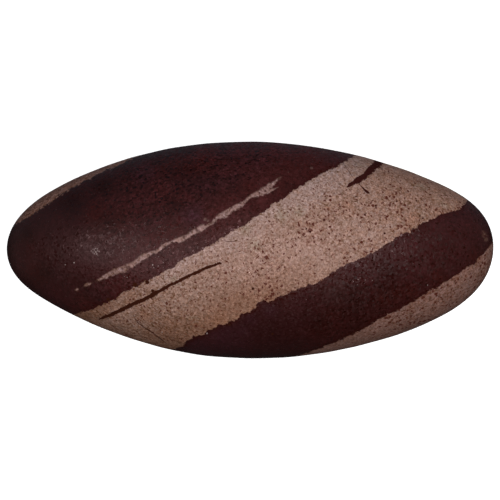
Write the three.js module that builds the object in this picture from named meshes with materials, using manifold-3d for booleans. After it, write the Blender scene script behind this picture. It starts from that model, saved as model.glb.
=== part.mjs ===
// Shiva lingam stone: one river-tumbled, hand-rubbed pebble of banded quartz sandstone, lying on its side.
// Its outline is a long lens with blunt rounded tips, its girth is close to round, and broad soft swells
// keep it from being a turned shape. It rests on one small flat spot worn on its belly.
// Millimetres. X runs along the stone, Z is up, and the origin is under the middle of the stone, on the flat spot.

import * as THREE from "three";
import { mergeVertices } from "three/addons/utils/BufferGeometryUtils.js";
import Module from "manifold-3d";

// Driving dimensions.
const LENGTH = 102; // tip to tip
const WIDTH = 45.5; // widest place, seen from above
const HEIGHT = 43.9; // tallest place, seen from the side, before the flat spot is worn off
const FLAT_SPOT_DEPTH = 0.35; // how much the belly is worn away where it rests

// The outlines, seen from above and from the side, as sums of sin(k * turn), k = 1, 2, 3 ..., where turn runs
// from 0 at the left tip to PI at the right one. The first term alone is an ellipse. The second makes the right
// half fuller, and the rest draw the flanks straighter and the tips blunter.
const PLAN_OUTLINE = [1, -0.02, -0.016, -0.01, 0.0135, 0, 0.0035];
const SIDE_OUTLINE = [1, -0.0133, -0.0138, -0.0061, 0.0102];

// The stone's middle line bends a little: millimetres of cos(k * turn), k = 0, 1, 2 ...
const BEND_SIDEWAYS = [0, 0.15, 0.2, -0.27, 0, -0.1];
const BEND_UPWARDS = [0, -0.32, 0.26, 0.12];

// Broad swells and hollows on the upper and lower faces. They fade out at the widest line, so that the stone
// seen from above keeps its plan outline.
const SWELLS = [
  { share: 0.0085, around: 3, along: 2, phase: 1.1 },
  { share: 0.006, around: 2, along: 3, phase: 4.0 },
  { share: 0.004, around: 4, along: 5, phase: 2.3 },
];

const RINGS = 64; // cross-sections between the tips
const SIDES = 64; // points round each cross-section
const PEAK_SAMPLES = 360; // places tried to find the widest one

const STONE_COLOUR = 0x7c5a50;
const STONE_ROUGHNESS = 0.55;

const sineSum = (terms, turn) => terms.reduce((sum, term, k) => sum + term * Math.sin((k + 1) * turn), 0);
const cosineSum = (terms, turn) => terms.reduce((sum, term, k) => sum + term * Math.cos(k * turn), 0);

// The half extent of an outline at a turn, scaled so that its widest place measures `full` across.
function halfExtent(outline, full) {
  const turns = Array.from({ length: PEAK_SAMPLES }, (_, i) => (Math.PI * i) / PEAK_SAMPLES);
  const widest = Math.max(...turns.map((turn) => sineSum(outline, turn)));
  return (turn) => ((full / 2) * sineSum(outline, turn)) / widest;
}

const halfWidthAt = halfExtent(PLAN_OUTLINE, WIDTH);
const halfHeightAt = halfExtent(SIDE_OUTLINE, HEIGHT);

// How far a point stands proud of the plain oval section, as a share of that section's size.
function swell(turn, round) {
  const fade = Math.sin(round) ** 2 * Math.sin(turn);
  const waves = SWELLS.map((s) => s.share * Math.cos(s.around * round + s.along * turn + s.phase));
  return fade * waves.reduce((sum, wave) => sum + wave, 0);
}

// A point of the stone's skin, round the middle line. Round runs from the back edge over the top.
function skinPoint(turn, round) {
  const size = 1 + swell(turn, round);
  return new THREE.Vector3(
    (-LENGTH / 2) * Math.cos(turn),
    cosineSum(BEND_SIDEWAYS, turn) + size * halfWidthAt(turn) * Math.cos(round),
    cosineSum(BEND_UPWARDS, turn) + size * halfHeightAt(turn) * Math.sin(round),
  );
}

// The closed skin: a fan at each tip, and rings of quads, each cut into two triangles, between them.
function skinGeometry() {
  const points = [skinPoint(0, 0)];
  for (let ring = 1; ring <= RINGS; ring++)
    for (let side = 0; side < SIDES; side++)
      points.push(skinPoint((Math.PI * ring) / (RINGS + 1), (2 * Math.PI * side) / SIDES));
  points.push(skinPoint(Math.PI, 0));

  const at = (ring, side) => 1 + (ring - 1) * SIDES + (side % SIDES);
  const rightTip = points.length - 1;
  const faces = [];
  for (let side = 0; side < SIDES; side++) {
    faces.push(0, at(1, side + 1), at(1, side));
    for (let ring = 1; ring < RINGS; ring++) {
      faces.push(at(ring, side), at(ring, side + 1), at(ring + 1, side));
      faces.push(at(ring, side + 1), at(ring + 1, side + 1), at(ring + 1, side));
    }
    faces.push(at(RINGS, side), at(RINGS, side + 1), rightTip);
  }
  return new THREE.BufferGeometry().setFromPoints(points).setIndex(faces);
}

const wasm = await Module();
wasm.setup();

function toSolid(geometry) {
  const bare = geometry.clone().deleteAttribute("normal").deleteAttribute("uv");
  const merged = mergeVertices(bare);
  return new wasm.Manifold(
    new wasm.Mesh({
      numProp: 3,
      vertProperties: merged.attributes.position.array,
      triVerts: new Uint32Array(merged.index.array),
    }),
  );
}

function toGeometry(solid) {
  const mesh = solid.getMesh();
  const geometry = new THREE.BufferGeometry()
    .setAttribute("position", new THREE.BufferAttribute(mesh.vertProperties, 3))
    .setIndex(new THREE.BufferAttribute(mesh.triVerts, 1));
  geometry.computeVertexNormals();
  return geometry;
}

// Centres the skin over the origin with its lowest point FLAT_SPOT_DEPTH under Z = 0, then cuts it off flat there.
function stoneGeometry() {
  const skin = skinGeometry();
  skin.computeBoundingBox();
  const middle = skin.boundingBox.getCenter(new THREE.Vector3());
  skin.translate(-middle.x, -middle.y, -skin.boundingBox.min.z - FLAT_SPOT_DEPTH);
  const ground = new THREE.BoxGeometry(LENGTH, WIDTH, HEIGHT).translate(0, 0, -HEIGHT / 2);
  return toGeometry(toSolid(skin).subtract(toSolid(ground)));
}

const stone = new THREE.Mesh(
  stoneGeometry(),
  new THREE.MeshStandardMaterial({ color: STONE_COLOUR, roughness: STONE_ROUGHNESS, metalness: 0 }),
);
stone.name = "stone";

const part = new THREE.Group();
part.add(stone);

export default part;
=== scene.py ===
"""A shiva lingam stone: a river-tumbled, hand-rubbed pebble of banded sandstone, lying on a pale stage.

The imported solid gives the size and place. The skin built here has the same form at a finer grain, with the
wear of a tumbled pebble. Its rock is painted through the whole body of the stone: the bands are layers that
run right through it, so they meet round the back as they do in a real one.
"""

import math
from typing import NamedTuple

import bpy
import numpy as np
from bpy.props import FloatProperty, FloatVectorProperty, PointerProperty
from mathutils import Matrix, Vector


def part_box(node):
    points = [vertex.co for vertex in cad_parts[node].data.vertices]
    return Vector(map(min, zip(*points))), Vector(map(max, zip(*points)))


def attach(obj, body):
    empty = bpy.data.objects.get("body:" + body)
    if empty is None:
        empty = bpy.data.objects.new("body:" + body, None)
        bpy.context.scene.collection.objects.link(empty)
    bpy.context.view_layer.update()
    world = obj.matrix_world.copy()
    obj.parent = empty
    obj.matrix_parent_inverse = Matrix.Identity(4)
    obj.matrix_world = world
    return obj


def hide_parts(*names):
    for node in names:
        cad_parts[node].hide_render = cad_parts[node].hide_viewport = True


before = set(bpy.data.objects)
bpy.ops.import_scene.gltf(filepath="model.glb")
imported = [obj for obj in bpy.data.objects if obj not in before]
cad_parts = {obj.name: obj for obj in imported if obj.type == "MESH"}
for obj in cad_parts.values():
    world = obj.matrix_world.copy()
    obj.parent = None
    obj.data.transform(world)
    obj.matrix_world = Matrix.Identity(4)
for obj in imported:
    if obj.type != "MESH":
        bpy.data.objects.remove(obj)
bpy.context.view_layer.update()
STONE_LOW, STONE_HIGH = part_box("stone")
STONE_SIZE = STONE_HIGH - STONE_LOW

bl_info = {
    "name": "Shiva Lingam Stone",
    "version": (1, 0, 0),
    "blender": (4, 5, 0),
    "location": "View3D > Sidebar > Lingam",
    "description": "Builds a banded lingam stone and a plain stage to show it on",
    "category": "Add Mesh",
}

MM = 0.001  # metres in a millimetre

# ---------------------------------------------------------------------------------------------------------
# The stone's form, in millimetres. It follows the solid's own outlines and bends.

LENGTH = 102
WIDTH = 45.5
HEIGHT = 43.9
FLAT_SPOT_DEPTH = 0.35

PLAN_OUTLINE = [1, -0.02, -0.016, -0.01, 0.0135, 0, 0.0035]
SIDE_OUTLINE = [1, -0.0133, -0.0138, -0.0061, 0.0102]
BEND_SIDEWAYS = [0, 0.15, 0.2, -0.27, 0, -0.1]
BEND_UPWARDS = [0, -0.32, 0.26, 0.12]

# Each swell is (share of the section's size, waves around, waves along, phase).
SWELLS = [(0.0085, 3, 2, 1.1), (0.006, 2, 3, 4.0), (0.004, 4, 5, 2.3)]

RINGS = 358  # cross-sections between the tips
SIDES = 270  # points round each cross-section
PEAK_SAMPLES = 361  # places tried to find the widest one

# The wear of the river and of the hand that rubbed it, in millimetres.
WEAR_SEED = 11
WAVES = 14
WAVE_LENGTHS = (6, 18)
WAVE_HEIGHT = 0.012
DENTS = 90
DENT_RADII = (0.8, 2.4)
DENT_DEPTHS = (0.012, 0.045)

# ---------------------------------------------------------------------------------------------------------
# The rock's layers, in millimetres. `Along` runs with the layers and `level` counts up through them.

LAYER_HEADING = math.radians(29)  # the way the layers run, seen from above
LAYER_LEAN = 0.06  # how much further across a layer lies for each millimetre that it is higher
MIDDLE_HEIGHT = 21.9  # height of the widest line above the resting plane
UPPER_FACE = (-1.5, 0.5)  # heights from the widest line between which the upper face's own marks come in
UNDER_SIDE = (0, -12)  # and the under side's

BORDER_BLUR = 0.1
RIM_WIDTH = 1.2  # the browner rim of the dark rock
DRIFT_SIZE = 24  # slow drift of the borders on the under side
DRIFT = 4
WAVE_SIZE = 3.6  # waves of the two lower borders
WAVE_REACH = 0.8

# The borders between the layers: level, at places along. Between those places a border runs smoothly.
PALE_TIP_BORDER = [(-50, 28.6), (-39, 28.7), (-32, 29.1), (-24, 29.6), (-14, 28.9), (0, 28.4)]
UPPER_BORDER = [
    (-50, 7.2), (-37.5, 6.15), (-33, 5.62), (-29, 5.43), (-27, 5.95), (-25, 5.6), (-22, 5.7), (-20, 5.8),
    (-18.5, 5.65), (-15, 5.75), (-13, 6.1), (-11, 6.05), (-8, 6.1), (-5, 5.9), (-3.5, 6.05), (-1, 6.4),
    (2, 6.18), (4, 6.6), (7, 6.6), (8.5, 7.1), (10.5, 6.85), (14, 7.5), (17, 7.45), (20, 7.46), (22, 7.25),
    (27, 6.95), (40, 7.2),
]
LOWER_BORDER = [
    (-36, -10.6), (-22, -10.0), (-19, -9.4), (-17, -9.65), (-15, -9.4), (-13, -9.4), (-10, -9.95),
    (-8, -9.5), (-5, -9.75), (-3.2, -8.85), (-2, -9.6), (0, -10.0), (2, -10.3), (4, -10.4), (7, -10.65),
    (10, -11.15), (12, -10.75), (14, -10.6), (16, -10.8), (19, -11.2), (22.5, -11.3), (24.5, -11.25),
    (26.5, -11.15), (29, -11.45), (34, -11.5), (38.5, -12.1), (41.5, -12.8), (43.5, -12.8), (50, -14.3),
]
FAR_BORDER = [
    (-12, -23.8), (0, -24.1), (3, -24.3), (6.5, -24.75), (9, -24.85), (12.3, -24.95), (14.6, -24.55),
    (17, -24.5), (21, -24.75), (23, -24.9), (26, -24.6), (30, -24.55), (36, -24.25), (38.5, -24.35),
    (40.6, -23.75), (43.5, -23.2), (50, -21.8),
]


class Seam(NamedTuple):
    """A thin layer that pinches out, or a crack: a middle line and a width, both at places on its way. Where
    the width is less than 0 the seam is broken."""

    line: list
    width: list
    rough: float  # how ragged its edges are
    soft: float = 0.12  # how wide its edges fade
    share: float = 1.0  # how fully it covers the rock


# Pale wisps in the dark rock, the last one on the under side.
WISP = Seam(
    line=[
        (-36, 10.8), (-32.6, 10.8), (-30, 10.5), (-26.5, 10.55), (-24, 10.15), (-21, 10.3), (-18.5, 10.44),
        (-16.5, 10.16), (-14.5, 10.45), (-12.4, 10.3), (-10.5, 9.8), (-8.5, 9.9), (-6.5, 9.95), (-4.5, 9.75),
        (-2.5, 10.2), (-0.5, 10.12), (1.5, 10.2), (3.5, 10.2), (5.4, 10.6), (7, 10.35), (9.5, 10.45),
        (11.5, 10.85), (13, 11.0), (15, 11.0),
    ],
    width=[
        (-36, -0.4), (-35.6, 0), (-35.1, 0.45), (-34.7, 0.1), (-34.2, -0.4), (-33.5, 0), (-32.6, 0.55),
        (-31.9, 0.3), (-31.4, -0.3), (-30.7, 0.2), (-29.9, 0.6), (-27.3, 0.8), (-24.1, 1.2), (-22.4, 0.75),
        (-20.3, 1.0), (-18, 0.8), (-16, 0.5), (-14.5, 0.6), (-12.9, 0.3), (-11, 1.1), (-9, 0.8), (-6.7, 1.0),
        (-5.1, 0.6), (-3.7, 0.4), (-1.1, 1.1), (0.5, 0.85), (3, 0.65), (4.6, 0.4), (5.6, 0.55), (7, 1.0),
        (9.1, 1.0), (10.3, 0.65), (11.3, 0.3), (12.4, 0.05), (13.4, -0.4), (15, -0.4),
    ],
    rough=1.0,
    soft=0.25,
)
WISP_TAIL = Seam(
    line=[(7, 9.9), (8.5, 9.8), (9.8, 9.65), (11.5, 9.4)],
    width=[(7, -0.4), (7.8, 0.45), (9.3, 0.55), (10.6, 0.1), (11.5, -0.4)],
    rough=0.8,
    soft=0.25,
)
UNDER_WISP = Seam(
    line=[(-30, 12.5), (-18, 13.4), (-6, 12.7), (4, 13.3), (16, 12.6)],
    width=[
        (-30, -0.4), (-27, 0.4), (-20, 1.1), (-14, 0.6), (-8, 1.2), (0, 0.8), (6, 0.3), (8, -0.3), (10, 0.5),
        (13, 0.2), (16, -0.4),
    ],
    rough=1.2,
    soft=0.25,
)

# Iron seams in the pale rock, the last one on the under side.
VEIN = Seam(
    line=[
        (-36, 3.2), (-33.8, 3.05), (-30.6, 2.82), (-26, 2.8), (-23.5, 2.62), (-20, 2.72), (-14.7, 2.66),
        (-10.8, 2.45), (-8, 2.1), (-6, 1.8),
    ],
    width=[
        (-35, -0.3), (-33.9, 0.35), (-32, 0.75), (-30, 0.85), (-23, 0.75), (-21.4, 0.95), (-20, 0.75),
        (-14, 0.6), (-10, 0.62), (-8, 0.6), (-6.9, 0.55), (-6.2, -0.3),
    ],
    rough=0.6,
    soft=0.08,
)
STREAK = Seam(
    line=[(23, 2.6), (25.5, 2.62), (27, 2.55), (28.5, 2.8), (31.8, 3.2), (36, 3.4)],
    width=[
        (23.4, -0.3), (23.9, 0.45), (24.5, 0.85), (25.5, 1.0), (27, 1.35), (28.5, 1.25), (32, 1.45),
        (36, 1.6),
    ],
    rough=1.0,
    soft=0.08,
)
THREAD = Seam(
    line=[(-4.4, 6.2), (-3.6, 5.4), (-2.7, 4.7), (-1.1, 4.2)],
    width=[(-4.4, 0), (-3.4, 0.18), (-2.0, 0.22), (-1.1, -0.2)],
    rough=0.2,
    share=0.7,
)
UNDER_VEIN = Seam(
    line=[(-16, -4.4), (-6, -3.3), (4, -3.1), (14, -3.8)],
    width=[(-16, -0.3), (-14, 0.35), (-8, 0.8), (2, 0.5), (8, 0.7), (12, 0.3), (14, -0.3)],
    rough=0.6,
    soft=0.08,
)

# Hairline cracks, which cross the layers: their lines are places along, at levels.
CRACK = Seam(
    line=[(-8, -24.6), (-6, -25.3), (-4, -26.1), (-2.3, -27), (-0.5, -27.5), (1.5, -27.1)],
    width=[(-8, 0), (-6, 0.26), (-2.3, 0.22), (0, 0.1), (1.5, -0.2)],
    rough=0.2,
    share=0.8,
)
DASH = Seam(
    line=[(-0.8, 26.9), (0.3, 26.5), (1.8, 26.1)],
    width=[(-0.8, -0.2), (-0.4, 0.55), (0.5, 0.34), (1.8, 0.05)],
    rough=0.1,
    soft=0.08,
)
HAIR = Seam(
    line=[(3.4, 25.7), (5, 25.6), (7, 25.5)],
    width=[(3.4, -0.1), (5, 0.16), (7, 0)],
    rough=0.1,
    share=0.7,
)

# Marks on the upper face: (x, y, radius) of each, seen from above. First the small ones, which have an edge:
# iron spots, painted glints on quartz grains, the chipped star, pale flecks in the dark rock, and dark holes
# in the wisp.
IRON_SPOTS = [
    (-19.85, -8.35, 0.34), (-23.4, -7.1, 0.42), (-20.95, -6.6, 0.42), (-29.1, -10.1, 0.32),
    (0.6, -7.8, 0.3), (12.2, 3.7, 0.26), (15.0, 6.1, 0.22), (11.4, 4.3, 0.2), (4.6, -17.2, 0.22),
    (-4.2, -15.2, 0.26), (27.4, 3.4, 0.22), (38.9, -9.5, 0.3), (34.8, 7.0, 0.16), (35.4, 6.5, 0.18),
    (30.1, 10.0, 0.17), (25.1, 10.1, 0.15), (21.6, 10.9, 0.15), (23.4, 7.3, 0.16), (25.7, 9.0, 0.17),
    (34.2, 10.1, 0.15),
]
# Painted glints: pale spots in the colour that stand for highlights glinting off quartz grains.
PAINTED_GLINTS = [
    (-36.05, -2.6, 0.12), (-19.8, -3.0, 0.12), (-18.1, -16.9, 0.13), (-8.8, -17.1, 0.14),
    (21.0, -6.4, 0.08), (24.9, -6.2, 0.08), (36.4, -7.2, 0.1), (-37.9, -3.05, 0.08),
]
STAR = [
    (-31.55, 0.3, 0.1), (-31.8, 0, 0.09), (-31.1, -0.15, 0.1), (-32.05, -0.45, 0.09), (-31.5, -0.4, 0.18),
    (-31.3, -0.8, 0.14), (-31.1, -1.05, 0.08), (-32.05, 0.15, 0.07), (-31.2, 0.2, 0.1), (-30.8, -0.3, 0.1),
    (-31.8, -0.75, 0.12), (-32.4, -0.2, 0.08),
]
PALE_FLECKS = [
    (48.4, 3.6, 0.4), (48.7, 3.0, 0.55), (49.0, 2.2, 0.45), (12.6, 16.8, 0.2), (-9.1, 6.2, 0.3),
    (-8.5, 5.9, 0.2),
]
WISP_HOLES = [
    (1.9, 11.6, 0.2), (3.1, 12.0, 0.2), (4.1, 12.5, 0.18), (-9.0, 5.2, 0.25), (-7.2, 6.5, 0.2),
    (-19.5, -1.2, 0.2),
]

# Patches of the pale rock, which fade to nothing at their radius: with more specks, rusty, and olive.
SPECKLED = [
    (29.5, 10.5, 4.5), (12, 4.5, 3.5), (17.5, 7.5, 3), (2.5, -1, 3.5), (4, -9, 5), (-19.5, -7.5, 1.6),
]
RUSTY = [(20, 9.5, 2.2), (-21, -13, 3), (8, -11.5, 2.5), (33, 6, 2.5), (-6, -14.5, 3), (16, 8.4, 0.8)]
OLIVE = [(6.4, 7, 2.4), (10, 7.7, 2), (-1, 4.1, 2), (-15.5, -6, 1.6), (1, 1, 2)]

# Patches of the dark rock: scuffed, dusty, of other colours, dimmer, and lighter.
SCUFFED = [(-31.6, -0.4, 1.3), (-18.6, -2.9, 3.2), (-25.4, -5.6, 1.4), (2.3, 9.6, 1.1), (23, -6.3, 3)]
DUSTY = [(16.8, -8.3, 4), (-31.6, -0.3, 1.6)]
BRIGHT_RED = [(-9, 22, 5), (-2, 22.5, 5), (5, 22.5, 5), (12, 22, 5)]
DEEP_RED = [
    (27.5, -9.8, 3.5), (33, -8.6, 2.8), (38.5, -6, 3), (29.7, -8.9, 3.5), (7.5, 12, 5), (-0.5, 12.5, 3),
    (12, 15, 2), (-44, -5.4, 3.5), (-31.7, 7.8, 5), (46.5, -1.4, 2.5),
]
PURPLE = [
    (-5, -18, 7), (-10, -21, 6), (-4, -13, 5), (0.2, -14, 3), (-11.5, 7.1, 4), (-22, 16, 4), (4, -12, 3.5),
    (-1.5, -16.5, 3),
]
DIM = [
    (21, -10.5, 9), (27.5, -7.7, 5), (-29, 6, 5), (-36.5, 9.5, 5), (-30, 13, 4), (-46, 3.4, 3),
    (-42.3, -5, 3.5), (-2.8, 12.4, 3), (14.5, -15, 4.5), (-31, -10, 3), (-13, 15, 5), (-15, 9, 4),
    (28, -4.5, 4.5), (8, 12.5, 2.5), (-18, -1.5, 7), (-12, 1.5, 6.5), (-34, -8, 3.5),
]
FAIR = [
    (-41.5, -8, 4), (-8, -17, 7), (-1, -19, 4), (2.6, 10.4, 3), (37, 6.5, 5), (33, 1, 3), (-34, -3, 4),
    (-26.7, -8.2, 3.5), (-12, -19, 4), (9, -11.5, 3),
]

# ---------------------------------------------------------------------------------------------------------
# The rock's textures: their sizes in millimetres.

RED_SIZE = 10  # the redder clouds of the dark rock
SHADE_SIZE = 8  # slow changes of the pale rock's colour
CLOUD_SIZE = 6.5
CROWD_SIZE = 6  # places where the specks crowd
OLIVE_SIZE = 5
RUST_SIZE = 3
TINT_SIZE = 1.8
MOTTLE_SIZE = 1.5
GRAIN_SIZE = 0.5
SAND_SIZE = 0.42
DUST_SIZE = 0.26
RAGGED_SIZE = 1.4  # the coarser wander of the layers' edges
FRAY_SIZE = 0.9  # and the finer one
HOLE_SIZE = 0.8  # gaps in the wisps
POINT_SPACING = 0.5  # pale points of the dark rock
WANDER_SIZE = 0.6  # the wander that takes the specks off their grid
WANDER_REACH = 0.9
SPECK_BLUR = 0.05

# Shares of what makes an edge uneven.
SEAM_WANDER = 0.55  # how much of the layers' raggedness a seam of roughness 1 follows
SEAM_FRAY = 0.24  # how much its width changes with the finer grain
SPOT_FRAY = 0.5  # how much a spot's radius does


class Specks(NamedTuple):
    """Scattered specks, one to a cell."""

    spacing: float  # the size of a cell
    seed: int
    largest: float  # the largest radius, where the crowd is 1
    least: float  # taken off every radius, which leaves the smallest specks out
    share: float  # how fully they cover the rock


RUSTY_SPECKS = Specks(spacing=0.55, seed=3, largest=0.36, least=0.03, share=0.55)
SMALL_SPECKS = Specks(spacing=0.75, seed=5, largest=0.44, least=0.1, share=0.92)
LARGE_SPECKS = Specks(spacing=1.05, seed=7, largest=0.5, least=0.16, share=1.0)

# ---------------------------------------------------------------------------------------------------------
# The rock's colours, as linear shares of red, green and blue.

PALE_ROCK = (0.330, 0.210, 0.175)
MIDDLE_ROCK = (0.305, 0.178, 0.134)
WARM_ROCK = (0.248, 0.124, 0.080)
OUTER_ROCK = (0.238, 0.124, 0.096)
PINK_ROCK = (0.290, 0.170, 0.152)
OLIVE_ROCK = (0.250, 0.175, 0.122)
RUST_ROCK = (0.270, 0.120, 0.068)
DARK_ROCK = (0.0330, 0.0064, 0.0064)
RED_ROCK = (0.0430, 0.0064, 0.0050)
DEEP_RED_ROCK = (0.0400, 0.0046, 0.0026)
BRIGHT_RED_ROCK = (0.0520, 0.0054, 0.0040)
PURPLE_ROCK = (0.0400, 0.0096, 0.0122)
RIM_ROCK = (0.0290, 0.0020, 0.0002)
IRON_ROCK = (0.0560, 0.0115, 0.0030)
RED_IRON_ROCK = (0.0560, 0.0090, 0.0062)
SPECK = (0.080, 0.014, 0.006)
RUST_SPECK = (0.150, 0.044, 0.019)
QUARTZ = (0.46, 0.36, 0.34)

# The pale rock's sand is tinted a little between these two.
COOL_TINT = (0.94, 1.02, 1.1)
WARM_TINT = (1.06, 0.98, 0.9)

# How much of the red, the green and the blue goes where the rock gets darker, and where the dark rock's
# grain does. The last line is the least that is left of each.
REDDENING = (0.85, 1.0, 1.2)
GRAIN_REDDENING = (0.85, 1.1, 1.7)
LEAST_LEFT = (0.15, 0.1, 0.05)

# The skin's finish.
ROUGHNESS = 0.42
SPECULAR_LEVEL = 0.38
SPECULAR_TINT = (1.0, 0.68, 0.69, 1.0)
IRON_METALLIC = 0.6
BUMP_STRENGTH = 0.5
BUMP_DEPTH = 0.06  # millimetres

# ---------------------------------------------------------------------------------------------------------
# The stage, in metres.

FLOOR_RADIUS = 1.4
FLOOR_DROP = 0.0001  # how far the floor lies under the stone's flat spot
FLOOR_FLAT = 0.5  # the share of the radius that is flat
FLOOR_RINGS = 48
FLOOR_SIDES = 96
WALL_HEIGHT = 0.5

OVERHEAD_PLACE = (0.1, -0.08, 0.81)
OVERHEAD_SIZE = (0.8, 0.1)
FAR_PLACE = (0.28, 0.60, 0.40)
FAR_SIZE = (0.7, 1.1)
LEFT_PLACE = (-0.48, -0.06, 0.66)
LEFT_SIZE = (0.6, 0.2)

NEAR_AIR = (0.95, 0.97, 1.0)
FAR_AIR = (0.75, 0.9, 1.2)
DIMMEST_AIR = 0.02

CAMERA_RISE = 0.600  # camera above the stone's widest line
VIEW_WIDTH = 0.1049  # how much the camera takes in across, at that line
SENSOR_WIDTH = 36  # millimetres, as Blender counts it


# ---------------------------------------------------------------------------------------------------------
# Shader maths


class Wire:
    """A value that runs from one shader node to the next. Python's operators on it add Math nodes."""

    def __init__(self, sheet, socket):
        self.sheet = sheet
        self.socket = socket

    def maths(self, operation, *others):
        return self.sheet.maths(operation, self, *others)

    def __add__(self, other):
        return self.maths("ADD", other)

    def __sub__(self, other):
        return self.maths("SUBTRACT", other)

    def __mul__(self, other):
        return self.maths("MULTIPLY", other)

    def __truediv__(self, other):
        return self.maths("DIVIDE", other)

    def __rsub__(self, other):
        return self.sheet.maths("SUBTRACT", other, self)

    def __abs__(self):
        return self.maths("ABSOLUTE")

    __radd__ = __add__
    __rmul__ = __mul__


class ShaderSheet:
    """A node tree to write shader maths on."""

    def __init__(self, tree):
        tree.nodes.clear()
        self.tree = tree

    def node(self, kind, settings=None, sockets=None, output=0):
        """One node of a kind, with its settings made first and then the values or links of its sockets."""
        node = self.tree.nodes.new(kind)
        for name, value in (settings or {}).items():
            if name == "points":
                self.bend(node, value)
            else:
                setattr(node, name, value)
        for name, value in (sockets or {}).items():
            if isinstance(value, Wire):
                self.tree.links.new(value.socket, node.inputs[name])
            else:
                node.inputs[name].default_value = value
        return Wire(self, node.outputs[output]) if node.outputs else None

    @staticmethod
    def bend(node, points):
        """Gives a Float Curve node its points, which may lie anywhere."""
        mapping = node.mapping
        mapping.use_clip = False
        curve = mapping.curves[0]
        for place in points[1:-1]:
            curve.points.new(*place)
        for point, place in zip((curve.points[0], curve.points[-1]), (points[0], points[-1])):
            point.location = place
        mapping.update()

    def surface(self, sockets):
        """Ends a material: a Principled shader with these sockets, on the surface."""
        shader = self.node("ShaderNodeBsdfPrincipled", {}, sockets)
        self.node("ShaderNodeOutputMaterial", {}, {"Surface": shader})

    def maths(self, operation, *values):
        return self.node("ShaderNodeMath", {"operation": operation}, dict(enumerate(values)))

    def split(self, vector):
        """The three parts of a vector."""
        parts = self.node("ShaderNodeSeparateXYZ", {}, {"Vector": vector}).socket.node.outputs
        return [Wire(self, part) for part in parts]

    def vector(self, operation, *values, **sockets):
        return self.node("ShaderNodeVectorMath", {"operation": operation}, dict(enumerate(values)) | sockets)

    def most(self, values):
        """The largest of several values."""
        total = values[0]
        for value in values[1:]:
            total = total.maths("MAXIMUM", value)
        return total

    def rise(self, value, start, end):
        """0 below start and 1 above end, with a smooth climb between; it falls where start is above end."""
        if start > end:
            return 1 - self.rise(value, end, start)
        sockets = {"Value": value, "From Min": start, "From Max": end}
        return self.node("ShaderNodeMapRange", {"interpolation_type": "SMOOTHSTEP"}, sockets)

    def curve(self, points, value):
        """A smooth line through (place, height) points, read at a value."""
        places, heights = np.array(points, float).T
        low, span = heights.min(), np.ptp(heights)
        first, reach = places[0], places[-1] - places[0]
        knots = [((place - first) / reach, (height - low) / span) for place, height in points]
        sockets = {"Value": (value - first) / reach}
        return self.node("ShaderNodeFloatCurve", {"points": knots}, sockets) * span + low

    def noise(self, place, size, seed, detail=2.0, roughness=0.5, output=0):
        """Soft random hills about `size` across, from 0 to 1. Each seed has hills of its own."""
        sockets = {"Vector": place, "W": seed, "Scale": 1 / size, "Detail": detail, "Roughness": roughness}
        return self.node("ShaderNodeTexNoise", {"noise_dimensions": "4D"}, sockets, output)

    def hills(self, *values, **options):
        """The same, from about -1 to 1."""
        return self.noise(*values, **options) * 2 - 1

    def grains(self, place, size, seed):
        """Scattered grains, one to a cell `size` across: the distance to the nearest one, and its own three
        random numbers from 0 to 1."""
        shifted = self.vector("ADD", place, (seed * size, -seed * size, seed))
        sockets = {"Vector": shifted, "Scale": 1 / size}
        distance = self.node("ShaderNodeTexVoronoi", {}, sockets, "Distance")
        return distance * size, Wire(self, distance.socket.node.outputs["Color"])

    def mix(self, share, first, second):
        """First colour at share 0, second at 1. A Mix node's colour sockets are its inputs 6 and 7."""
        sockets = {0: share, 6: self.colour(first), 7: self.colour(second)}
        return self.node("ShaderNodeMix", {"data_type": "RGBA"}, sockets, 2)

    def colour(self, value):
        return value if isinstance(value, Wire) else (*value, 1.0)

    def shade(self, colour, amount, reddening=REDDENING):
        """A colour made lighter by an amount above 0, or darker and redder by one below 0."""
        factor = self.vector("ADD", self.vector("SCALE", reddening, Scale=amount), (1, 1, 1))
        return self.vector("MULTIPLY", colour, self.vector("MAXIMUM", factor, LEAST_LEFT))


# ---------------------------------------------------------------------------------------------------------
# The stone's skin


def sine_sum(terms, turn):
    """The sum of each term times sin(k turn), where k counts the terms from 1."""
    orders = np.arange(1, len(terms) + 1)
    return np.tensordot(terms, np.sin(np.multiply.outer(orders, turn)), 1)


def cosine_sum(terms, turn):
    """The sum of each term times cos(k turn), where k counts the terms from 0."""
    orders = np.arange(len(terms))
    return np.tensordot(terms, np.cos(np.multiply.outer(orders, turn)), 1)


def half_extent(outline, full, turn):
    """Half of an outline's width at a turn: its sine sum, scaled so that its widest place measures `full`.
    The widest place is looked for among PEAK_SAMPLES turns."""
    widest = sine_sum(outline, np.linspace(0, math.pi, PEAK_SAMPLES)).max()
    return full / 2 * sine_sum(outline, turn) / widest


def plain_skin(turn, around):
    """Points of the stone's skin, and the ways its sections face there.

    Along the stone, x is minus half the length times cos(turn). Round it, a section is an oval of the half
    width times cos(around) and the half height times sin(around), about a middle line that bends a little,
    and swells that fade out towards the widest line make it a little larger or smaller.
    """
    fade = np.sin(around) ** 2 * np.sin(turn)
    waves = [share * np.cos(n * around + m * turn + phase) for share, n, m, phase in SWELLS]
    size = 1 + fade * sum(waves)
    facing = np.stack([np.zeros_like(around), np.cos(around), np.sin(around)], -1)
    half_width = half_extent(PLAN_OUTLINE, WIDTH, turn)
    half_height = half_extent(SIDE_OUTLINE, HEIGHT, turn)
    points = np.stack(
        [
            -LENGTH / 2 * np.cos(turn),
            cosine_sum(BEND_SIDEWAYS, turn) + size * half_width * facing[..., 1],
            cosine_sum(BEND_UPWARDS, turn) + size * half_height * facing[..., 2],
        ],
        -1,
    )
    return points, facing


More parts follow.
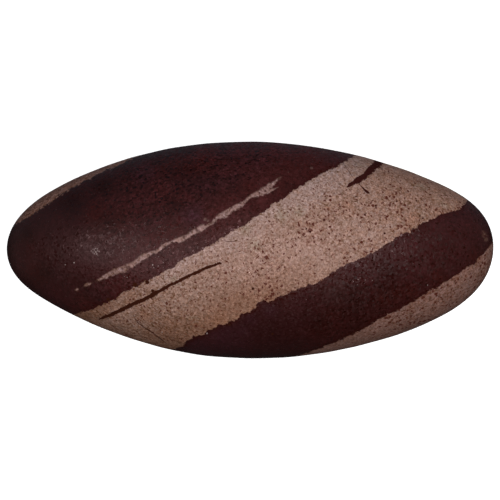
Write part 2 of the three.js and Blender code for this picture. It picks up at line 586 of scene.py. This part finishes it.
def wear(points):
    """How far the skin stands off its plain form, in millimetres: the sum of long low waves that run in
    random directions, less round dents whose depth falls off as the exponential of minus the squared
    distance."""
    draw = np.random.default_rng(WEAR_SEED)
    height = np.zeros(points.shape[:-1])
    for _ in range(WAVES):
        way = draw.normal(size=3)
        way *= 2 * math.pi / (draw.uniform(*WAVE_LENGTHS) * np.linalg.norm(way))
        height += WAVE_HEIGHT * np.sin(points @ way + draw.uniform(0, 2 * math.pi))
    skin = points.reshape(-1, 3)
    for _ in range(DENTS):
        centre = skin[draw.integers(len(skin))]
        radius = draw.uniform(*DENT_RADII)
        depth = draw.uniform(*DENT_DEPTHS)
        height -= depth * np.exp(-((points - centre) ** 2).sum(-1) / radius**2)
    return height


def stone_points():
    """Every point of the skin in millimetres, in rings from the left tip to the right one, with each tip a
    whole ring at one point. The belly is worn off flat at height 0."""
    turn = np.linspace(0, math.pi, RINGS + 2)
    around = np.linspace(0, 2 * math.pi, SIDES, endpoint=False) - math.pi / 2
    turn, around = np.meshgrid(turn, around, indexing="ij")
    points, facing = plain_skin(turn, around)
    points = points + facing * (wear(points) * np.sin(turn))[..., None]
    low, high = points.min((0, 1)), points.max((0, 1))
    points -= [(low[0] + high[0]) / 2, (low[1] + high[1]) / 2, low[2] + FLAT_SPOT_DEPTH]
    points[..., 2] = points[..., 2].clip(0)
    return points


def fit_to_box(points, low, high):
    """Stretches points evenly along each axis so that they fill the box from low to high."""
    first, last = points.min((0, 1)), points.max((0, 1))
    return np.array(low) + (points - first) / (last - first) * (np.array(high) - np.array(low))


def ring_mesh(name, points):
    """A closed mesh from rings of points whose first and last ring are tips: quads between rings, and a fan
    of triangles at each tip. Its map runs once round in one direction and tip to tip in the other."""
    rings, sides = points.shape[:2]
    inner = points[1:-1].reshape(-1, 3)
    vertices = np.concatenate([points[:1, 0], inner, points[-1:, 0]])
    side = np.arange(sides)
    beside = (side + 1) % sides
    start = 1 + sides * np.arange(rings - 3)[:, None]
    quads = np.stack([start + side, start + beside, start + sides + beside, start + sides + side], -1)
    left = np.stack([np.zeros(sides, int), 1 + beside, 1 + side], -1)
    final = 1 + sides * (rings - 3)
    right = np.stack([final + side, final + beside, np.full(sides, len(vertices) - 1)], -1)
    mesh = bpy.data.meshes.new(name)
    mesh.from_pydata(vertices, [], quads.reshape(-1, 4).tolist() + left.tolist() + right.tolist())

    across, up = 1 / sides, 1 / (rings - 1)
    row = np.arange(1, rings - 2)[:, None] * up + 0 * side
    column = side * across + 0 * row
    corners = [(column, row), (column + across, row), (column + across, row + up), (column, row + up)]
    quad_map = np.stack([np.stack(corner, -1) for corner in corners], -2).reshape(-1, 2)
    tip = np.stack([(side + 0.5) * across, 0 * side], -1)
    ahead = np.stack([(side + 1) * across, 0 * side + up], -1)
    behind = np.stack([side * across, 0 * side + up], -1)
    left_map = np.stack([tip, ahead, behind], -2).reshape(-1, 2)
    right_map = (np.stack([behind, ahead, tip], -2) * [1, -1] + [0, 1]).reshape(-1, 2)
    layer = mesh.uv_layers.new(name="OFBake")
    layer.data.foreach_set("uv", np.concatenate([quad_map, left_map, right_map]).astype(np.float32).ravel())
    mesh.shade_smooth()
    mesh.update()
    return mesh


# ---------------------------------------------------------------------------------------------------------
# The rock's layers


class RockSheet(ShaderSheet):
    """A sheet that has the stone's own measures on it, in millimetres, and the textures that every layer
    shares."""

    def __init__(self, tree):
        super().__init__(tree)
        self.place = self.vector("SCALE", self.node("ShaderNodeTexCoord", {}, {}, "Object"), Scale=1 / MM)
        self.x, self.y, z = self.split(self.place)
        high = z - MIDDLE_HEIGHT
        self.front = self.rise(high, *UPPER_FACE)
        self.back = self.rise(high, *UNDER_SIDE)
        cosine, sine = math.cos(LAYER_HEADING), math.sin(LAYER_HEADING)
        self.along = self.x * cosine + self.y * sine
        self.level = self.y * cosine - self.x * sine + high * LAYER_LEAN

        self.cloud = self.hills(self.place, CLOUD_SIZE, seed=1, detail=3)
        self.mottle = self.hills(self.place, MOTTLE_SIZE, seed=2, roughness=0.6)
        self.grain = self.hills(self.place, GRAIN_SIZE, seed=3, detail=1, roughness=0.6)
        self.fray = self.hills(self.place, FRAY_SIZE, seed=14)
        wander = self.noise(self.place, WANDER_SIZE, seed=13, detail=1, output="Color")
        self.bent = self.vector("ADD", self.place, self.vector("SCALE", wander, Scale=WANDER_REACH))

        # Each grain of sand has three numbers of its own from -1 to 1, most of them small.
        even = self.vector("MULTIPLY_ADD", self.grains(self.place, SAND_SIZE, 1)[1], (2, 2, 2), (-1, -1, -1))
        self.facet = self.vector("MULTIPLY", even, self.vector("ABSOLUTE", even))
        self.sand, self.gloss, self.hue = self.split(self.facet)

        # The layers' edges are ragged, and on the under side the borders drift.
        coarse = self.hills(self.place, RAGGED_SIZE, seed=4)
        self.ragged = coarse * 0.5 + self.fray * 0.18 + self.grain * 0.22 + self.sand * 0.16
        drift = self.hills(self.place, DRIFT_SIZE, seed=5, detail=1) * self.back * DRIFT
        self.ragged_level = self.level + self.ragged + self.fray * 0.2 + drift

        # Two places that several textures share: where the dark rock glitters most, and the pale rock's
        # strip between the vein and the upper border at its left end.
        self.lively = self.rise(self.along, -4, 16) * self.rise(self.level, -4, -9)
        self.left_strip = self.rise(self.level, 1.5, 4) * self.rise(self.along, -16, -26)

    def above(self, border):
        """How far the rock lies above a border between layers."""
        return self.ragged_level - self.curve(border, self.along)

    def seam(self, seam, way, across):
        """A seam's share of the rock. It runs along one measure, and its width lies in the other."""
        offset = abs(across + self.ragged * (seam.rough * SEAM_WANDER) - self.curve(seam.line, way))
        half = self.curve(seam.width, way) * 0.5 + (self.fray + self.grain) * (seam.rough * SEAM_FRAY)
        return self.rise(half - offset, -seam.soft, seam.soft) * seam.share

    def distance_to(self, x, y):
        """How far a place lies from a plan place, seen from above."""
        offset = self.node("ShaderNodeCombineXYZ", {}, {"X": self.x - x, "Y": self.y - y})
        return self.node("ShaderNodeVectorMath", {"operation": "LENGTH"}, {0: offset}, "Value")

    def spots(self, marks, soft=0.1):
        """1 in each (x, y, radius) on the upper face, with an edge that is soft and a little uneven."""
        shares = []
        for x, y, radius in marks:
            distance = self.distance_to(x, y) + self.grain * (radius * SPOT_FRAY)
            shares.append(self.rise(distance, radius + soft, radius - soft))
        return self.most(shares) * self.front

    def patch(self, marks):
        """1 at the middle of each (x, y, radius) on the upper face, falling smoothly to 0 at the radius."""
        shares = [self.rise(self.distance_to(x, y), radius, 0) for x, y, radius in marks]
        return self.most(shares) * self.front

    def specks(self, kind, crowd):
        """The share of a kind of specks, whose radii are random, and larger where they crowd."""
        distance, lot = self.grains(self.bent, kind.spacing, kind.seed)
        radius = self.split(lot)[0] * crowd * kind.largest - kind.least
        return self.rise(radius - distance, -SPECK_BLUR, SPECK_BLUR) * kind.share


class Layers(NamedTuple):
    """Which rock lies where, each as a share from 0 to 1."""

    pale: Wire  # pale rock against dark
    outer: Wire  # the duller pale rock beyond the far border and at the pale tip
    wisps: Wire  # the pinker wisps in the dark rock
    iron: Wire  # iron seams, cracks and spots in the pale rock
    rim: Wire  # the rim of the dark rock along its borders


def iron_share(s):
    """Iron, in seams, hairline cracks and single spots."""
    upper = [s.seam(seam, s.along, s.level) for seam in (VEIN, THREAD)]
    upper += [s.seam(crack, s.level, s.along) for crack in (CRACK, DASH, HAIR)]
    streak = s.seam(STREAK, s.along, s.level)
    under = s.seam(UNDER_VEIN, s.along, s.level) * s.back
    return s.most([streak, under, s.most(upper) * s.front, s.spots(IRON_SPOTS)])


def wisp_share(s):
    """Pale wisps in the dark rock, with gaps in them."""
    upper = s.most([s.seam(seam, s.along, s.level) for seam in (WISP, WISP_TAIL)]) * s.front
    under = s.seam(UNDER_WISP, s.along, s.level) * s.back
    gaps = s.rise(s.hills(s.place, HOLE_SIZE, seed=7, detail=1), 0, 0.45) * 0.8
    holes = s.most([gaps, s.spots(WISP_HOLES, 0.15)])
    return s.most([upper, under]) * (0.9 - holes * 0.9)


def find_layers(s):
    """Works out which rock lies where."""
    waves = s.hills(s.place, WAVE_SIZE, seed=6, detail=1) * WAVE_REACH
    upper = s.above(UPPER_BORDER)
    lower = s.above(LOWER_BORDER) + waves
    far = s.above(FAR_BORDER) + waves * 0.4
    tip = s.above(PALE_TIP_BORDER)

    iron = iron_share(s)
    wisps = wisp_share(s)
    wide_band = s.rise(lower, -BORDER_BLUR, BORDER_BLUR) * s.rise(upper, BORDER_BLUR, -BORDER_BLUR)
    outer = s.most([s.rise(far, BORDER_BLUR, -BORDER_BLUR), s.rise(tip, -BORDER_BLUR, BORDER_BLUR)])
    flecks = s.spots(PALE_FLECKS, 0.25) * 0.28
    pale = s.most([wide_band * (1 - iron), outer, wisps, flecks])
    rim = s.most([s.rise(abs(border), RIM_WIDTH, 0) for border in (upper, lower, far)])
    return Layers(pale, outer, wisps, iron, rim)


# ---------------------------------------------------------------------------------------------------------
# The pale rock


def pale_colour(s, settings, layers):
    """The pale rock's colour without its grain: cool at the upper border, warmer below, warmer and darker at
    the ends, partly the rock's own colour and partly painted shade where less light reaches them, duller in
    the outer layers and pinker in the wisps, with olive and rusty patches."""
    depth = s.level + s.hills(s.place, SHADE_SIZE, seed=8) * 2.5
    low_left = s.rise(depth, -0.5, -8) * s.rise(s.along, 18, -8)
    # The ends turn warmer and darker: partly the rock's own colour, partly painted shade.
    ends = s.rise(s.along, 20, 40) * 0.45 + s.rise(s.along, -24, -38) * 0.6
    olive = s.most([s.rise(s.hills(s.place, OLIVE_SIZE, seed=9), 0.15, 0.7), s.patch(OLIVE)])
    stains = s.rise(s.hills(s.place, RUST_SIZE, seed=10, detail=3), 0.15, 0.8)
    rust = s.most([stains, s.patch(RUSTY) * 0.7])
    colour = s.mix(s.rise(depth, 6.5, 0.5), settings.pale_rock, MIDDLE_ROCK)
    colour = s.mix(low_left, colour, WARM_ROCK)
    colour = s.mix(ends + s.left_strip * 0.4, colour, WARM_ROCK)
    colour = s.mix(olive * 0.7, colour, OLIVE_ROCK)
    colour = s.mix(rust * 0.8, colour, RUST_ROCK)
    colour = s.mix(layers.outer, colour, OUTER_ROCK)
    return s.mix(layers.wisps, colour, PINK_ROCK)


def pale_fade(s):
    """How much dimmer the pale rock is than its colour: painted shade at the pale tip and at the left end,
    where less light falls, and darker rock low on the left and in the strip beside the vein."""
    # Painted shade: the pale tip and the left end are darkened where less light falls.
    tip = s.rise(s.level, 24, 28)
    low_left = s.rise(s.level, 2, -4) * s.rise(s.along, -12, -24)
    left_end = s.rise(s.along, -30, -36)
    return tip * 0.22 + low_left * 0.14 + left_end * 0.14 + s.left_strip * 0.1


def speck_crowd(s):
    """How large the pale rock's specks are, as a share: larger in patches and at the right half of the lower
    border, and smaller near the upper border."""
    patches = s.rise(s.hills(s.place, CROWD_SIZE, seed=11), -0.5, 0.5) * 0.4 + s.patch(SPECKLED) * 0.35
    lower_edge = s.rise(s.level, -8.8, -10.6) * s.rise(s.along, 10, 20)
    return 0.6 + patches * s.rise(s.level, 7.5, 3) + lower_edge * 0.2


def pale_rock(s, settings, layers):
    """The pale rock's colour with its sand grain and specks, and the share of its dark specks."""
    from_middle = abs(s.along - 2)
    motley = s.hue * 0.5 + s.hills(s.place, TINT_SIZE, seed=15) * 0.45
    tint = s.mix(motley * (0.6 + s.rise(from_middle, 10, 24) * 0.4) + 0.5, COOL_TINT, WARM_TINT)
    dust = s.hills(s.place, DUST_SIZE, seed=16, detail=0)
    fine = (dust * 0.7 + s.grain * 0.3 + s.sand * 0.5) * (0.82 + s.rise(from_middle, 8, 22) * 0.16)
    colour = s.vector("MULTIPLY", pale_colour(s, settings, layers), tint)
    # The fade holds painted shade at the pale tip and at the left end.
    colour = s.shade(colour, s.cloud * 0.1 + s.mottle * 0.12 + fine - pale_fade(s))

    crowd = speck_crowd(s)
    dark = s.most([s.specks(SMALL_SPECKS, crowd), s.specks(LARGE_SPECKS, crowd)])
    colour = s.mix(s.specks(RUSTY_SPECKS, crowd), colour, RUST_SPECK)
    return s.mix(dark, colour, settings.speck), dark


# ---------------------------------------------------------------------------------------------------------
# The dark rock


def dark_colour(s, settings):
    """The dark rock's colour without its grain: maroon, with redder clouds and red and purple patches."""
    clouds = s.rise(s.hills(s.place, RED_SIZE, seed=12), -0.3, 0.5)
    right = s.rise(s.along, 0, 12) * s.rise(s.level, 19, 14) * 0.5
    inner = s.rise(s.level, 17, 12) * s.rise(s.level, 0, 4) * s.rise(s.along, -40, -16)
    low_left = s.rise(s.level, -12, -15) * s.rise(s.along, 4, -6)
    redness = s.most([clouds, right, inner]) * (1 - low_left)
    colour = s.mix(redness, settings.dark_rock, RED_ROCK)
    colour = s.mix(s.patch(DEEP_RED), colour, DEEP_RED_ROCK)
    colour = s.mix(s.patch(BRIGHT_RED), colour, BRIGHT_RED_ROCK)
    return s.mix(s.patch(PURPLE), colour, PURPLE_ROCK)


def dark_fade(s):
    """How much dimmer the dark rock is than its colour, place by place. Towards the upper left end this is
    partly darker rock and partly painted shade, where less light falls.
    """
    # Partly painted shade: far_side and left_end darken the rock towards the upper left end, where less
    # light falls.
    far_side = s.rise(s.level, 14, 29)
    lower_band = s.rise(s.level, -2, -9)
    beyond_wisp = s.rise(s.level, 11, 14) * s.rise(s.level, 22, 17) * s.rise(s.along, 8, -4)
    left_end = s.rise(s.level, 6, 14) * s.rise(s.along, -16, -30)
    upper_band = s.rise(s.level, 4, 8)
    fade = far_side * 0.42 + lower_band * 0.2 + beyond_wisp * 0.2 + left_end * 0.1 + upper_band * 0.05
    return fade + s.patch(DIM) * 0.3 - s.patch(FAIR) * 0.2


def dark_grain(s):
    """The dark rock's grain, above 0 where it is lighter. Its strength changes from place to place, and
    beside the wisp and where the dark rock glitters most it is stronger, which paints part of the glitter
    into the colour.
    """
    upper_side = s.rise(s.level, -12, 4)
    far_side = s.rise(s.level, 9, 18) * s.rise(s.along, -30, -12)
    beside_wisp = s.rise(s.level, 3, 6) * s.rise(s.level, 12, 9)
    left_end = s.rise(s.along, -24, -36)
    # Stronger grain beside the wisp and in the lively place: painted glitter of the lit sheen there.
    strength = 0.35 + upper_side * 0.35 + far_side * 1.4 + beside_wisp * 0.35 + s.lively * 0.9
    return (s.mottle * 0.18 + s.grain * 0.32 + s.sand * 0.5) * (strength - left_end * 0.15)


def dark_rock(s, settings, layers):
    """The dark rock's colour with its grain, its browner iron and rims and its pale points, and the share of
    the points."""
    scuffed = s.patch(SCUFFED)
    colour = s.shade(dark_colour(s, settings), dark_grain(s), GRAIN_REDDENING)
    # The fade holds painted shade in part, towards the upper left end.
    colour = s.shade(colour, s.cloud * 0.08 + scuffed * 0.12 - dark_fade(s))
    iron_colour = s.mix(s.rise(s.along, 4, 18), IRON_ROCK, RED_IRON_ROCK)
    colour = s.mix(layers.rim * 0.75, colour, RIM_ROCK)
    colour = s.mix(layers.iron, colour, iron_colour)

    distance, lot = s.grains(s.place, POINT_SPACING, 11)
    size, brightness, _ = s.split(lot)
    points = s.rise(size * 0.24 - 0.12 + scuffed * 0.06 - distance, -0.03, 0.05)
    share = points * (0.03 + brightness * 0.05 + scuffed * 0.35) + s.patch(DUSTY) * 0.018
    return s.mix(share, colour, QUARTZ), points


# ---------------------------------------------------------------------------------------------------------
# The stone's material


def add_material(name, kind=ShaderSheet):
    """A new material, and the sheet of its node tree."""
    material = bpy.data.materials.new(name)
    material.use_nodes = True
    return material, kind(material.node_tree)


def banded_rock(settings):
    """The rock all the way through: dark and pale layers with their seams, specks and sand grain. The sand's
    facets tilt the skin a little, which makes it glitter softly."""
    material, s = add_material("banded sandstone", RockSheet)
    layers = find_layers(s)
    pale, pale_specks = pale_rock(s, settings, layers)
    dark, points = dark_rock(s, settings, layers)
    # Painted glints, pale spots that stand for highlights on quartz grains, and the pale chipped star.
    glints_and_chips = s.most([s.spots(PAINTED_GLINTS, 0.06) * 0.8, s.spots(STAR) * 0.48])

    # The dark rock glitters less beyond the wisp at its left end.
    calm = s.rise(s.along, -10, -26) * s.rise(s.level, 8, 14)
    tilt = 0.13 - calm * 0.06 + s.lively * 0.05 + points * 0.15
    facets = s.vector("SCALE", s.facet, Scale=(1 - layers.pale) * tilt + layers.pale * 0.04)
    bump = {"Strength": BUMP_STRENGTH, "Distance": BUMP_DEPTH * MM, "Height": s.grain}
    skin = s.vector("ADD", s.node("ShaderNodeBump", {}, bump), facets)
    dull = s.most([layers.pale * 0.12, layers.pale * pale_specks * 0.4, layers.iron * 0.5])
    shine = points * (0.24 - calm * 0.12)
    s.surface({
        "Base Color": s.mix(glints_and_chips, s.mix(layers.pale, dark, pale), QUARTZ),
        "Metallic": layers.iron * IRON_METALLIC,
        "Roughness": settings.roughness + dull + s.gloss * 0.24 + s.mottle * 0.08 - shine,
        "Normal": s.vector("NORMALIZE", skin),
        "Specular IOR Level": SPECULAR_LEVEL,
        "Specular Tint": SPECULAR_TINT,
    })
    return material


# ---------------------------------------------------------------------------------------------------------
# The stage


def dish_mesh(name):
    """A floor that turns up into a wall all round: flat first, and then a quarter of a cosine wave."""
    share = np.linspace(0, 1, FLOOR_RINGS)[:, None]
    turn = np.linspace(0, 2 * math.pi, FLOOR_SIDES, endpoint=False)
    radius = FLOOR_RADIUS * share + 0 * turn
    climb = ((share - FLOOR_FLAT) / (1 - FLOOR_FLAT)).clip(0) + 0 * turn
    height = WALL_HEIGHT * (1 - np.cos(climb * math.pi / 2)) - FLOOR_DROP
    points = np.stack([radius * np.cos(turn), radius * np.sin(turn), height], -1)
    ring = np.arange(FLOOR_RINGS - 1)[:, None] * FLOOR_SIDES
    side = np.arange(FLOOR_SIDES)
    beside = (side + 1) % FLOOR_SIDES
    outer = ring + FLOOR_SIDES
    quads = np.stack([ring + side, outer + side, outer + beside, ring + beside], -1)
    mesh = bpy.data.meshes.new(name)
    mesh.from_pydata(points.reshape(-1, 3), [], quads.reshape(-1, 4).tolist())
    mesh.shade_smooth()
    return mesh


def floor_material(settings):
    """Matt pale paint with a little glow of its own, so that the stage stays pale up to the stone."""
    material, s = add_material("pale stage")
    s.surface({
        "Base Color": (*settings.floor, 1),
        "Roughness": 0.9,
        "Specular IOR Level": 0.0,
        "Emission Color": (*settings.floor, 1),
        "Emission Strength": settings.floor_glow,
    })
    return material


def add_object(name, data):
    thing = bpy.data.objects.new(name, data)
    bpy.context.scene.collection.objects.link(thing)
    return thing


def aim(thing, place, target):
    """Puts a light or the camera at a place and turns it to look at a target."""
    thing.location = place
    thing.rotation_euler = (Vector(target) - Vector(place)).to_track_quat("-Z", "Y").to_euler()


def add_softbox(name, place, size, power):
    """A rectangular light that looks at the stone from a place. Returns its object."""
    data = bpy.data.lights.new(name, "AREA")
    data.shape = "RECTANGLE"
    data.size, data.size_y = size
    data.energy = power
    softbox = add_object(name, data)
    aim(softbox, place, (0, 0, MIDDLE_HEIGHT * MM))
    return softbox


def add_camera():
    """A camera straight above the stone, which takes in VIEW_WIDTH across at the widest line."""
    camera = add_object("camera", bpy.data.cameras.new("camera"))
    camera.data.sensor_width = SENSOR_WIDTH
    camera.data.lens = SENSOR_WIDTH * CAMERA_RISE / VIEW_WIDTH
    aim(camera, (0, 0, MIDDLE_HEIGHT * MM + CAMERA_RISE), (0, 0, 0))
    bpy.context.scene.camera = camera


def set_world(settings):
    """Dim air: a soft grey above the horizon, brighter on the far side, and glows low on that side and at
    both ends of the stone."""
    world = bpy.data.worlds.new("studio air")
    world.use_nodes = True
    s = ShaderSheet(world.node_tree)
    x, y, z = s.split(s.node("ShaderNodeTexCoord", {}, {}, "Generated"))
    sky = s.rise(z, -0.05, 0.15) * (settings.sky + s.rise(y, 0, 0.6) * settings.far_wall)
    far_glow = s.rise(y, 0.1, 0.5) * s.rise(z, -0.1, -0.6) * settings.far_glow
    ends = s.rise(abs(x), 0.35, 0.85) * s.rise(z, 0.5, 0.1) * s.rise(z, -0.7, -0.3) * (1 - x * 0.2)
    tint = s.mix(s.rise(y, 0.1, 0.9), NEAR_AIR, FAR_AIR)
    sockets = {"Color": tint, "Strength": sky + far_glow + ends * settings.side_glow + DIMMEST_AIR}
    s.node("ShaderNodeOutputWorld", {}, {"Surface": s.node("ShaderNodeBackground", {}, sockets)})
    bpy.context.scene.world = world


# ---------------------------------------------------------------------------------------------------------
# The add-on


def size_property(name, description, default):
    """A length that a user would change."""
    return FloatProperty(
        name=name, description=description, default=default, min=0.01, unit="LENGTH", subtype="DISTANCE"
    )


def colour_property(name, description, default):
    """A colour that a user would change."""
    return FloatVectorProperty(
        name=name, description=description, default=default, min=0, max=1, subtype="COLOR"
    )


def light_property(name, description, default):
    """The strength of a light or a glow, which a user would change."""
    return FloatProperty(name=name, description=description, default=default, min=0)


class StoneSettings(bpy.types.PropertyGroup):
    """What a user would change on the stone."""

    length: size_property("Length", "From tip to tip", STONE_SIZE.x)
    width: size_property("Width", "Across the widest place", STONE_SIZE.y)
    height: size_property("Height", "From the resting plane up", STONE_SIZE.z)
    pale_rock: colour_property("Pale rock", "Colour of the pale layers", PALE_ROCK)
    dark_rock: colour_property("Dark rock", "Colour of the dark layers", DARK_ROCK)
    speck: colour_property("Specks", "Colour of the iron specks in the pale layers", SPECK)
    roughness: FloatProperty(
        name="Roughness",
        description="0 is a mirror polish and 1 is fully matt",
        default=ROUGHNESS,
        min=0,
        max=1,
        subtype="FACTOR",
    )


class StageSettings(bpy.types.PropertyGroup):
    """What a user would change on the stage."""

    floor: colour_property("Floor", "Colour of the floor", (0.8, 0.8, 0.8))
    floor_glow: light_property("Floor glow", "Light that the floor gives by itself", 1.0)
    key_power: light_property("Softbox", "Power of the overhead softbox", 4.5)
    fill_power: light_property("Far softbox", "Power of the softbox behind", 1.85)
    left_power: light_property("Left softbox", "Power of the softbox at the left", 1.19)
    sky: light_property("Air", "Brightness of the light from all round", 0.025)
    far_wall: light_property("Far wall", "Brightness high on the far side", 0.13)
    side_glow: light_property("Side glow", "Brightness low at both ends", 0.125)
    far_glow: light_property("Far glow", "Brightness low on the far side", 0.09)


class LINGAM_OT_add_stone(bpy.types.Operator):
    """Builds the finished stone in place of the plain solid"""

    bl_idname = "lingam.add_stone"
    bl_label = "Add Stone"

    def execute(self, context):
        settings = context.scene.lingam_stone
        reach = Vector((settings.length / 2, settings.width / 2, 0))
        rise = Vector((0, 0, settings.height))
        centre = (STONE_LOW + STONE_HIGH) / 2
        foot = Vector((centre.x, centre.y, STONE_LOW.z))
        points = fit_to_box(stone_points(), foot - reach, foot + reach + rise)
        stone = add_object("banded_stone", ring_mesh("banded_stone", points))
        stone.data.materials.append(banded_rock(settings))
        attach(stone, "root")
        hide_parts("stone")
        return {"FINISHED"}


class LINGAM_OT_add_stage(bpy.types.Operator):
    """Sets the floor, the lights and the camera round the stone"""

    bl_idname = "lingam.add_stage"
    bl_label = "Add Stage"

    def execute(self, context):
        settings = context.scene.lingam_stage
        floor = add_object("floor", dish_mesh("floor"))
        floor.data.materials.append(floor_material(settings))
        floor.visible_diffuse = False
        floor.visible_glossy = False
        floor.visible_shadow = False
        add_softbox("overhead strip", OVERHEAD_PLACE, OVERHEAD_SIZE, settings.key_power)
        far = add_softbox("far softbox", FAR_PLACE, FAR_SIZE, settings.fill_power)
        far.visible_glossy = False
        add_softbox("left softbox", LEFT_PLACE, LEFT_SIZE, settings.left_power)
        set_world(settings)
        add_camera()
        context.scene.view_settings.view_transform = "Standard"
        return {"FINISHED"}


class LINGAM_PT_sidebar(bpy.types.Panel):
    """Lists the stone's and the stage's settings and their buttons"""

    bl_idname = "LINGAM_PT_sidebar"
    bl_label = "Lingam Stone"
    bl_space_type = "VIEW_3D"
    bl_region_type = "UI"
    bl_category = "Lingam"

    def draw(self, context):
        for group, operator in (("lingam_stone", "lingam.add_stone"), ("lingam_stage", "lingam.add_stage")):
            box = self.layout.box()
            settings = getattr(context.scene, group)
            for name in settings.__annotations__:
                box.prop(settings, name)
            box.operator(operator)


CLASSES = (StoneSettings, StageSettings, LINGAM_OT_add_stone, LINGAM_OT_add_stage, LINGAM_PT_sidebar)


def register():
    for cls in CLASSES:
        bpy.utils.register_class(cls)
    bpy.types.Scene.lingam_stone = PointerProperty(type=StoneSettings)
    bpy.types.Scene.lingam_stage = PointerProperty(type=StageSettings)


def unregister():
    del bpy.types.Scene.lingam_stage
    del bpy.types.Scene.lingam_stone
    for cls in reversed(CLASSES):
        bpy.utils.unregister_class(cls)


def main():
    """Builds the stone and its stage."""
    register()
    bpy.ops.lingam.add_stone()
    bpy.ops.lingam.add_stage()


if __name__ == "__main__":
    main()
